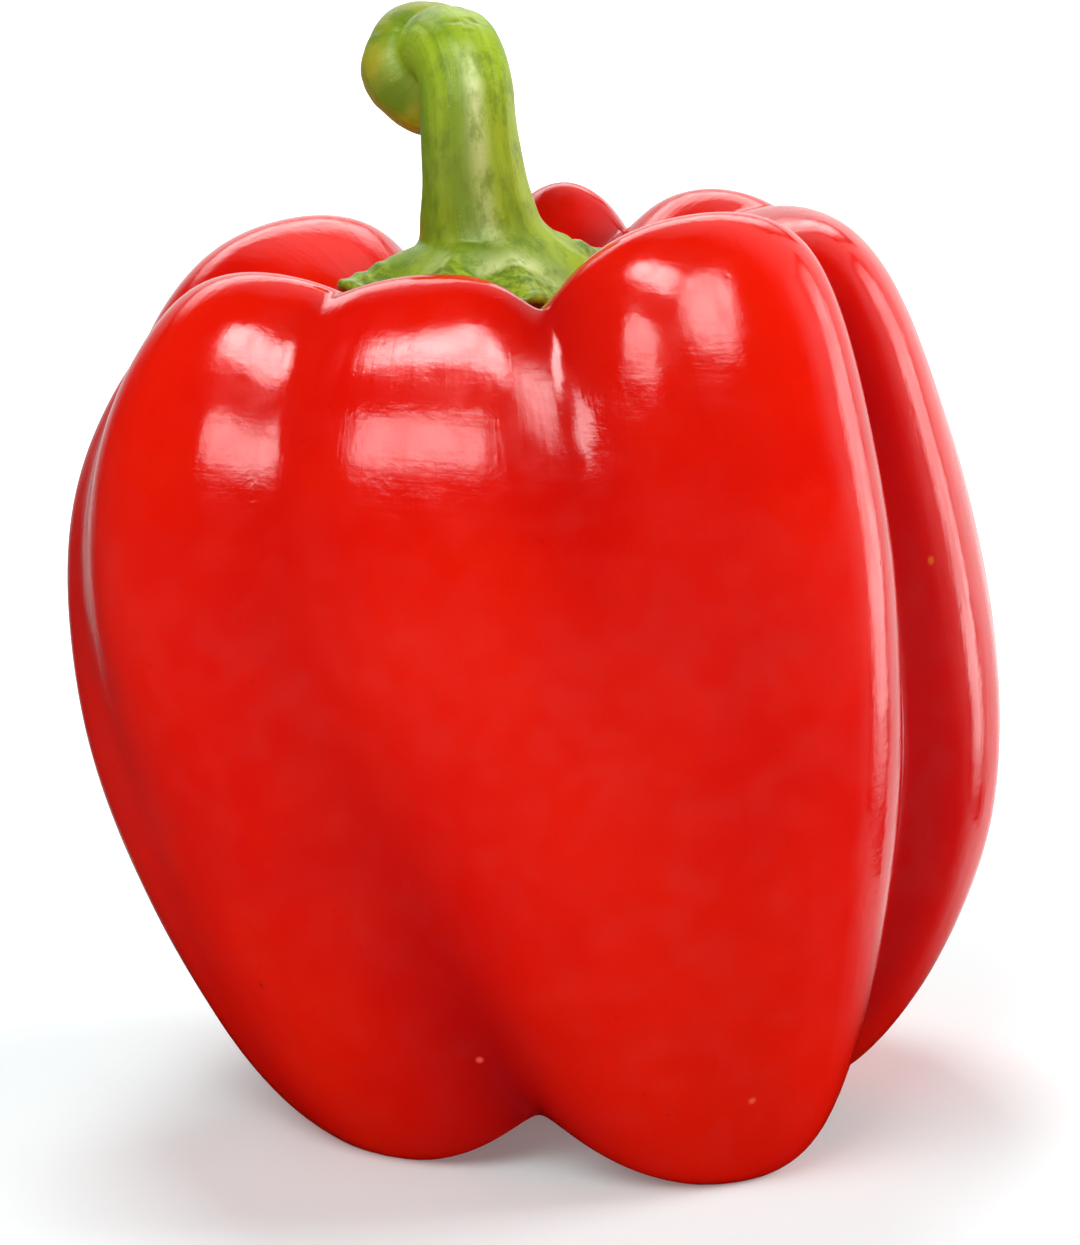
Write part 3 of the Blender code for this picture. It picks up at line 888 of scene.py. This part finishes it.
def hung(azimuth_at, elevation):
    """The place of a light round the fruit, and its turn to face it."""
    a, e = math.radians(azimuth_at), math.radians(elevation)
    towards = Vector((math.sin(a) * math.cos(e), -math.cos(a) * math.cos(e), math.sin(e)))
    return Vector(AIM) + LIGHT_DISTANCE * towards, towards.to_track_quat("Z", "Y")


def softbox(name, azimuth_at, elevation, size, radiance):
    """A rectangular light facing the fruit, which lights its colours."""
    lamp = bpy.data.lights.new(name, "AREA")
    lamp.shape = "RECTANGLE"
    lamp.size, lamp.size_y = size
    lamp.energy = radiance * math.pi * size[0] * size[1]
    made = bpy.data.objects.new(name, lamp)
    made.location, turn = hung(azimuth_at, elevation)
    made.rotation_euler = turn.to_euler()
    made.visible_glossy = False
    bpy.context.scene.collection.objects.link(made)


def staged(name, shape, colour):
    """A piece of the studio, with its node tree and shader."""
    mesh = bpy.data.meshes.new(name)
    shape.to_mesh(mesh)
    shape.free()
    made = bpy.data.objects.new(name, mesh)
    bpy.context.scene.collection.objects.link(made)
    coat, tree, shader = blank(name)
    shader.inputs["Base Color"].default_value = (*colour, 1.0)
    shader.inputs["Emission Color"].default_value = (1.0, 1.0, 1.0, 1.0)
    shader.inputs["Roughness"].default_value = 0.9
    shader.inputs["Specular IOR Level"].default_value = 0.0
    mesh.materials.append(coat)
    return made, tree, shader


def board(name, azimuth_at, elevation, size, radiance):
    """A bright board with soft edges facing the fruit, seen only in its highlights."""
    shape = bmesh.new()
    bmesh.ops.create_grid(shape, x_segments=24, y_segments=24, size=1.0)
    glow = shape.verts.layers.float.new("glow")
    middle, turn = hung(azimuth_at, elevation)
    for point in shape.verts:
        out = (abs(point.co.x) ** 3 + abs(point.co.y) ** 3) ** (1 / 3)
        point[glow] = radiance * ease(0.0, BOARD_EDGE, 1 - out)
        flat = Vector((point.co.x * size[0] / 2, point.co.y * size[1] / 2, 0.0))
        point.co = middle + turn @ flat
    made, tree, shader = staged(name, shape, BLACK)
    place = node(tree, "ShaderNodeTexCoord").outputs["Object"]
    cloudy = window(tree, pattern(tree, place, CLOUD_SCALE, 3.0, 0.6), 0.36, 0.60, CLOUD_DIM, 1.0)
    strength = maths(tree, "MULTIPLY", mark(tree, "glow"), cloudy)
    tree.links.new(strength, shader.inputs["Emission Strength"])
    made.visible_camera = made.visible_diffuse = made.visible_shadow = False


def level(name, size, height, colour):
    """A level square."""
    shape = bmesh.new()
    bmesh.ops.create_grid(shape, x_segments=8, y_segments=8, size=size)
    for point in shape.verts:
        point.co.z = height
    return staged(name, shape, colour)


def from_middle(tree, radii, start, end):
    """A value that changes smoothly from the middle of the floor outwards."""
    place = node(tree, "ShaderNodeTexCoord").outputs["Object"]
    away = node(tree, "ShaderNodeVectorMath", {0: place}, operation="LENGTH").outputs["Value"]
    return window(tree, away, *radii, start, end)


def table():
    """The white floor, and the pepper's own shade on it as the skin reflects it."""
    floor, tree, shader = level("floor", FLOOR_HALF, 0.0, WHITE)
    plain = blend(tree, from_middle(tree, BLUSH_RADII, 0.0, 1.0), UNBLUSHED, WHITE)
    tree.links.new(plain, shader.inputs["Base Color"])
    # Painted light: the floor glows, faintly near the pepper and more strongly further out.
    tree.links.new(from_middle(tree, GLOW_RADII, *FLOOR_GLOW), shader.inputs["Emission Strength"])
    floor.visible_glossy = False
    shade, tree, shader = level("shade_in_reflections", SHADE_HALF, SHADE_LEVEL, BLACK)
    tree.links.new(from_middle(tree, SHADED_RADII, 1.0, 0.0), shader.inputs["Alpha"])
    shade.visible_camera = shade.visible_diffuse = shade.visible_shadow = False


def camera():
    """The photograph's viewpoint."""
    eye = bpy.data.objects.new("camera", bpy.data.cameras.new("camera"))
    eye.data.sensor_fit = "VERTICAL"
    eye.data.sensor_height = SENSOR
    eye.data.lens = SENSOR * FOCAL_PIXELS / PHOTO_HEIGHT
    eye.location = CAMERA_AT
    look = Vector(CAMERA_TO) - Vector(CAMERA_AT)
    eye.rotation_euler = look.to_track_quat("-Z", "Y").to_euler()
    bpy.context.scene.collection.objects.link(eye)
    bpy.context.scene.camera = eye


def main():
    """Dresses both pieces and sets up the studio."""
    plain = fruit_grid()[0].reshape(-1, 3)
    low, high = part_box("fruit")
    shift = (np.array(low) + np.array(high) - plain.min(axis=0) - plain.max(axis=0)) / 2
    shift[2] = 0.0
    group = speckle_group()
    fruit = skin("pepper_fruit", *fine_fruit(shift), fruit_coat(group))
    stem = skin("pepper_stem", *fine_stem(shift), stem_coat(group))
    for piece, name, slot in ((fruit, "fruit", "skin"), (stem, "stem", "stem")):
        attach(piece, "root")
        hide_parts(name)
    table()
    studio()
    for light in SOFTBOXES:
        softbox(*light)
    for light in BOARDS:
        board(*light)
    camera()
    bpy.context.scene.view_settings.view_transform = "Standard"


main()
